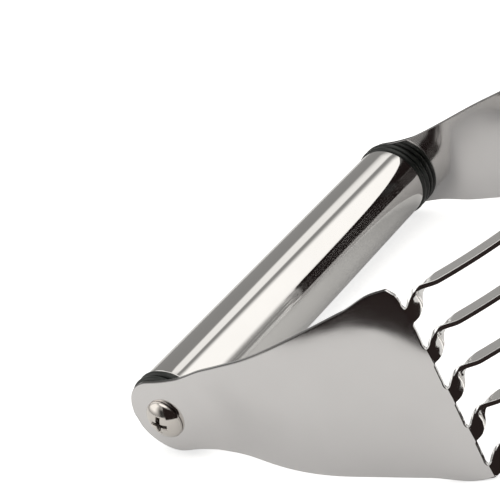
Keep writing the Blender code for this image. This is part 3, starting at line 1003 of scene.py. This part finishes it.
@dataclass
class Handle:
    """The tube, its rings and its screws."""

    lay: Lay
    radius: float = 0.0100
    wall: float = 0.0008
    length: float = 0.0990
    lip: float = 0.0003
    lip_rim: float = 0.001
    tube_steps: int = 160
    stack: float = 0.0036
    ring_gap: float = 0.00003
    ring_radius: float = 0.0104
    ring_inner: float = 0.0086
    ring_steps: int = 128
    head_gap: float = 0.0001
    head_radius: float = 0.0049
    head_height: float = 0.0028
    head_side: float = 0.0003
    head_fullness: float = 0.6
    head_rows: int = 110
    head_steps: int = 256
    shank_radius: float = 0.0022
    shank_length: float = 0.0125
    recess_turn: float = math.radians(-26)
    recess_width: float = 0.00125
    recess_span: float = 0.0047
    recess_depth: float = 0.0016
    recess_side: float = 0.00016
    recess_tail: float = 0.0012
    sheet: Sheet = field(default_factory=Sheet)

    def tube(self, material: bpy.types.Material) -> bpy.types.Object:
        """Turns the tube's closed profile: a long outer wall, rounded lips and a bore.

        Args:
            material: Polished finish.

        Returns:
            The tube.
        """
        half = self.length / 2
        bend = np.linspace(0.0, math.pi / 2, 9)
        lip_x = half - self.lip * (1 - np.sin(bend))
        lip_r = self.radius - self.lip * (1 - np.cos(bend))
        body = np.linspace(-1.0, 1.0, 49)[1:-1] * (half - self.lip)
        x = np.concatenate([-lip_x[::-1], body, lip_x, [half], body[::-1], [-half], -lip_x[-1:]])
        outer, bore = np.full(len(body), self.radius), np.full(len(body) + 2, self.radius - self.wall)
        radius = np.concatenate([lip_r[::-1], outer, lip_r, bore, lip_r[-1:]])
        # rim marks the last millimetre to each lip, which the finish polishes and paints brighter as a painted
        # highlight.
        rim = np.clip((np.abs(x) - half + self.lip_rim) / self.lip_rim, 0, 1)
        mesh = lathe("grip_tube", self.lay, x, radius, self.tube_steps, {"rim": rim})
        return settle(show("grip_tube", mesh, material), "handle", Slot.TUBE, "handle_tube")

    def ring(self, end: End, seat: Seat, material: bpy.types.Material) -> bpy.types.Object:
        """Turns one ring: a bead with a round crown, flat sides and a flat seat.

        Args:
            end: End of the handle.
            seat: The ring's place between tube and plate.
            material: Rubber.

        Returns:
            The ring.
        """
        width = self.stack / 2 - self.ring_gap
        middle = self.length / 2 + self.stack * (0.25 + 0.5 * seat.value)
        a = np.linspace(0.0, math.pi, 25)
        bulge = width / 2
        x = middle + bulge * np.cos(a)
        radius = self.ring_radius - bulge * (1 - np.sin(a))
        x = np.concatenate([x, [middle - bulge, middle + bulge], x[:1]])
        radius = np.concatenate([radius, [self.ring_inner, self.ring_inner], radius[:1]])
        # The crown share sets where the rubber's painted sheen lightens the bead.
        crown = np.concatenate([np.sin(a) ** 3, [0.0, 0.0, 0.0]])
        side = end.name.lower()
        spot = seat.name.lower()
        name = f"{side}_rubber_ring_{spot}"
        mesh = lathe(name, self.lay, end.value * x, radius, self.ring_steps, {"crown": crown})
        return settle(show(name, mesh, material), "handle", Slot.RING, f"ring_{side}_{spot}")

    def screw(self, end: End, material: bpy.types.Material) -> bpy.types.Object:
        """Turns a pan head screw and sinks a cross into its crown.

        The head's surface is a height over the disc. The cross takes away, at each place, the larger of two bars'
        depths, and each bar's depth falls off steeply at its sides and ends.

        Args:
            end: End of the handle.
            material: Screw steel.

        Returns:
            The screw.
        """
        under = self.length / 2 + self.stack + self.sheet.gauge + self.head_gap
        steps = self.head_steps
        turn = np.linspace(0.0, math.tau, steps, endpoint=False)
        crown_r = self.head_radius * np.sin(np.linspace(0.0, math.pi / 2, self.head_rows))
        dome = (1 - (crown_r / self.head_radius) ** 2.0) ** self.head_fullness
        crown_x = under + self.head_side + (self.head_height - self.head_side) * dome
        skirt_x = under + self.head_side * np.linspace(0.9, 0.0, 5)
        skirt_r = np.full(5, self.head_radius)
        skirt_r[-1] -= 0.0001
        tip = under - self.shank_length
        shank_x = np.array([under, under - 0.0003, *np.linspace(under - 0.001, tip + 0.001, 12), tip, tip])
        shank_r = self.shank_radius * np.array([1.05, *np.ones(13), 0.7, 0.0])
        x = np.concatenate([crown_x, skirt_x, shank_x])[:, None] * np.ones(steps)
        radius = np.concatenate([crown_r, skirt_r, shank_r])[:, None] * np.ones(steps)
        y, depth = radius * np.sin(turn), radius * np.cos(turn)
        cosine, sine = math.cos(self.recess_turn), math.sin(self.recess_turn)
        first, second = y * cosine + depth * sine, depth * cosine - y * sine
        sunk = np.zeros_like(x)
        for length, width in ((first, second), (second, first)):
            side = (self.recess_width / 2 - np.abs(width)) / self.recess_side
            tail = (self.recess_span / 2 - np.abs(length)) / self.recess_tail
            sunk = np.maximum(sunk, np.minimum(smooth_step(side), np.clip(tail, 0.0, 1.0)))
        sunk[len(crown_x):] = 0.0
        x = x - sunk * self.recess_depth
        name = f"{end.name.lower()}_screw"
        run = np.concatenate([[0.0], np.cumsum(np.hypot(np.diff(x[:, 0]), np.diff(radius[:, 0])))])
        lap = np.append(turn, math.tau) * self.head_radius
        flat = np.stack(np.broadcast_arrays(run[:, None], lap[None, :]), axis=-1)
        points = self.lay.place(end.value * x, y, depth)
        # The recess depth also sets where the screw finish paints its recess shade.
        mesh = close_mesh(sheet_mesh(name, points, flat, {"recess": sunk}, around=True))
        return settle(show(name, mesh, material), "handle", Slot.SCREW, f"screw_{end.name.lower()}")


# ---------------------------------------------------------------------------------------------------------------
# Studio.


@dataclass(frozen=True)
class SoftBox:
    """A bright part of the surround: its span of azimuth and elevation in degrees, its blur and its radiance."""

    azimuth: tuple[float, float]
    elevation: tuple[float, float]
    blur: tuple[float, float]
    radiance: float


@dataclass(frozen=True)
class CurvedCard:
    """A dark card on an arc about the object's middle; it stands wider and higher by the near plate."""

    turn: tuple[float, float] = (158, 300)
    near_from: float = 215
    near_ease: float = 35
    radius: float = 0.098
    radius_gain: float = 0.022
    foot: float = 0.0015
    foot_gain: float = 0.0020
    top: float = 0.130
    top_drop: float = 0.085
    drop_from: float = 258
    drop_ease: float = 10

    def grid(self) -> np.ndarray:
        """Works the card out from its turn and its share of the height.

        The foot runs on a circle whose radius and level grow by a smooth step towards the near plate, and the top is
        lowered by a smooth step on the other side.

        Returns:
            The points, along the card by up the card by three.
        """
        turn, share = np.meshgrid(np.linspace(*self.turn, 60), np.linspace(0, 1, 6), indexing="ij")
        near = smooth_step((self.near_from - turn) / self.near_ease)
        radius = self.radius + self.radius_gain * near
        foot = self.foot + self.foot_gain * near
        top = self.top - self.top_drop * smooth_step((turn - self.drop_from) / self.drop_ease)
        angle = np.radians(turn)
        return np.stack([radius * np.cos(angle), radius * np.sin(angle), foot + (top - foot) * share], axis=-1)


@dataclass(frozen=True)
class Studio:
    """A pale floor, a soft surround, dark cards, two of them painted floor shade, and the camera."""

    lay: Lay
    lens: float = 108.0
    sensor: float = 36.0
    place: tuple[float, float, float] = (-0.2374, -0.1263, 0.2619)
    right: tuple[float, float, float] = (0.553, 0.470, 0.687)
    back: tuple[float, float, float] = (-0.630, -0.304, 0.715)
    boxes: tuple[SoftBox, ...] = (
        SoftBox((-62, -9), (17, 62), (8, 7), 1.56),
        SoftBox((7, 31), (37, 62), (3, 6), 1.32),
        SoftBox((-181, 181), (66, 91), (1, 6), 1.35),
        SoftBox((92, 146), (10, 56), (14, 10), 1.25),
        SoftBox((-175, -92), (-5, 34), (8, 8), 0.05),
        SoftBox((158, 181), (-5, 34), (8, 8), 0.05),
    )
    # Two dark cards on the floor, seen only in reflections: painted shade on the floor by the near plate and under
    # the blade roots.
    floor_shade_cards: tuple[tuple[str, tuple[float, float], tuple[float, float]], ...] = (
        ("low_card_front", (-0.085, -0.020), (-0.120, -0.0362)),
        ("low_card_roots", (-0.0497, -0.030), (-0.0360, -0.012)),
    )
    floor_shade_card_level: float = 0.0001
    card_colour: tuple[float, float, float] = (0.021, 0.015, 0.014)
    floor_level: float = -0.0005
    floor_tones: tuple[float, float] = (0.80, 0.84)
    floor_lift: tuple[float, float] = (0.16, 0.72)
    dim: float = 0.36
    below: float = 0.80
    warmth: tuple[float, float] = (0.985, 0.955)

    def camera(self) -> bpy.types.Object:
        """Sets the camera up in front of the near plate, looking along the handle from above.

        Returns:
            The camera, which is made the scene's.
        """
        data = bpy.data.cameras.new("camera")
        data.lens, data.sensor_width = self.lens, self.sensor
        data.clip_start, data.clip_end = 0.01, 20.0
        item = bpy.data.objects.new("camera", data)
        bpy.context.scene.collection.objects.link(item)
        back = Vector(self.lay.turn(*(np.array(v) for v in self.back))).normalized()
        right = Vector(self.lay.turn(*(np.array(v) for v in self.right)))
        right = (right - back * right.dot(back)).normalized()
        up = back.cross(right)
        turn = Matrix((right, up, back)).transposed().to_4x4()
        item.matrix_world = Matrix.Translation(Vector(self.lay.place(*(np.array(v) for v in self.place)))) @ turn
        bpy.context.scene.camera = item
        return item

    def surround(self) -> bpy.types.World:
        """Makes the surround: a dim room with soft boxes, white where the camera looks past the object.

        Each box is a window over azimuth times a window over elevation, each with smooth sides as wide as its blur.

        Returns:
            The scene's world.
        """
        world = bpy.data.worlds.new("studio")
        bpy.context.scene.world = world
        world.use_nodes = True
        nodes = Nodes(world.node_tree)
        way = nodes.add("SeparateXYZ", {0: nodes.add("TexCoord").outputs["Generated"]}).outputs
        azimuth = nodes.math("DEGREES", nodes.math("ARCTAN2", way[1], way[0]))
        elevation = nodes.math("DEGREES", nodes.math("ARCSINE", way[2]))
        total = nodes.spread(elevation, -4.0, -1.0, self.below, self.dim)
        for box in self.boxes:
            mask = nodes.math(
                "MULTIPLY",
                nodes.window(azimuth, box.azimuth, box.blur[0]),
                nodes.window(elevation, box.elevation, box.blur[1]),
            )
            total = nodes.math("MULTIPLY_ADD", mask, box.radiance - self.dim, total)
        green, blue = (nodes.math("MULTIPLY", total, share) for share in self.warmth)
        lit = nodes.add("CombineColor", {0: total, 1: green, 2: blue})
        seen = nodes.add("LightPath").outputs["Is Camera Ray"]
        shine = nodes.add("Background", {"Color": nodes.mix(seen, lit.outputs[0], (1, 1, 1, 1))})
        nodes.link(shine.outputs[0], nodes.add("OutputWorld").inputs["Surface"])
        return world

    def floor(self) -> bpy.types.Object:
        """Lays a pale matt floor that lifts its own shadows by a little light of its own.

        Returns:
            The floor.
        """
        material = bpy.data.materials.new("pale_floor")
        material.use_nodes = True
        nodes = Nodes(material.node_tree)
        cloud = nodes.noise(nodes.add("TexCoord").outputs["Object"], 6.0, 3.0)
        seen = nodes.add("LightPath").outputs["Is Camera Ray"]
        looks = {
            "Base Color": nodes.mix(cloud, *((tone, tone, tone - 0.01, 1) for tone in self.floor_tones)),
            "Roughness": 0.9,
            "Emission Color": (1, 1, 1, 1),
            "Emission Strength": nodes.spread(seen, 0.0, 1.0, *self.floor_lift),
        }
        shader = nodes.add("BsdfPrincipled", looks)
        nodes.link(shader.outputs[0], nodes.add("OutputMaterial").inputs["Surface"])
        grid = np.linspace(-3.0, 3.0, 7)
        points = self.level(grid, grid, self.floor_level)
        item = show("floor", sheet_mesh("floor", points, points[..., :2]), material)
        return item

    def cards(self) -> None:
        """Curves a dark card round the camera's side of the object and lays two low by its near plate as painted
        shade on the floor, seen only in reflections.
        """
        material = bpy.data.materials.new("dark_card")
        material.use_nodes = True
        nodes = Nodes(material.node_tree)
        shade = nodes.add("Emission", {"Color": (*self.card_colour, 1), "Strength": 1.0})
        nodes.link(shade.outputs[0], nodes.add("OutputMaterial").inputs["Surface"])
        places = {"card": CurvedCard().grid()}
        for name, span_x, span_y in self.floor_shade_cards:
            places[name] = self.level(np.array(span_x), np.array(span_y), self.floor_shade_card_level)
        for name, points in places.items():
            self.hide_card(show(name, sheet_mesh(name, points, points[..., :2]), material))

    @staticmethod
    def level(x: np.ndarray, y: np.ndarray, height: float) -> np.ndarray:
        """Lays a level grid of points at a height over two lists of places.

        Args:
            x: Places in x.
            y: Places in y.
            height: Place in z of every point.

        Returns:
            The points, by x by y by three.
        """
        x, y = np.meshgrid(x, y, indexing="ij")
        return np.stack([x, y, np.full_like(x, height)], axis=-1)

    @staticmethod
    def hide_card(item: bpy.types.Object) -> None:
        """Leaves a card to be seen in reflections alone."""
        item.visible_camera = item.visible_diffuse = item.visible_shadow = False


def main() -> None:
    """Builds the classes in order; each piece reports itself when it settles on its body."""
    logging.basicConfig(level=logging.INFO, format="%(name)s %(message)s")
    grain_group()
    marks_group()
    lay = Lay.from_frame()
    sheet = Sheet()
    satin = Steel("satin_sheet", (0.76, 0.745, 0.745), 0.09, uneven=0.05, scratch=0.04).build()
    edge = Steel("blade_sheet", (0.86, 0.85, 0.84), 0.12, scratch=0.04).build()
    polish = {"uneven": 0.03, "streak_depth": 0.05, "cloud_depth": 0.1, "scratch": 0.015}
    mirror = Steel("mirror_tube", (0.62, 0.61, 0.60), 0.06, **polish).build()
    rubber = Rubber("ring_rubber", (0.007, 0.0095, 0.0075), 0.36, metallic=0.0).build()
    screw = ScrewSteel("screw_steel", (0.74, 0.70, 0.66), 0.10).build()
    plug = Plastic("plug_plastic", (0.05, 0.05, 0.05), 0.5, metallic=0.0).build()
    for end in End:
        SidePlate(lay, sheet, end).build(satin)
    for index in range(sheet.blades):
        Blade(lay, sheet, index).build(edge)
    handle = Handle(lay)
    handle.tube(mirror)
    for end in End:
        for seat in Seat:
            handle.ring(end, seat, rubber)
        handle.screw(end, screw)
        keep(f"end_plug_{end.name.lower()}", plug)
    studio = Studio(lay)
    studio.surround()
    studio.floor()
    studio.cards()
    studio.camera()
    bpy.context.scene.view_settings.view_transform = "Standard"


if __name__ == "__main__":
    main()
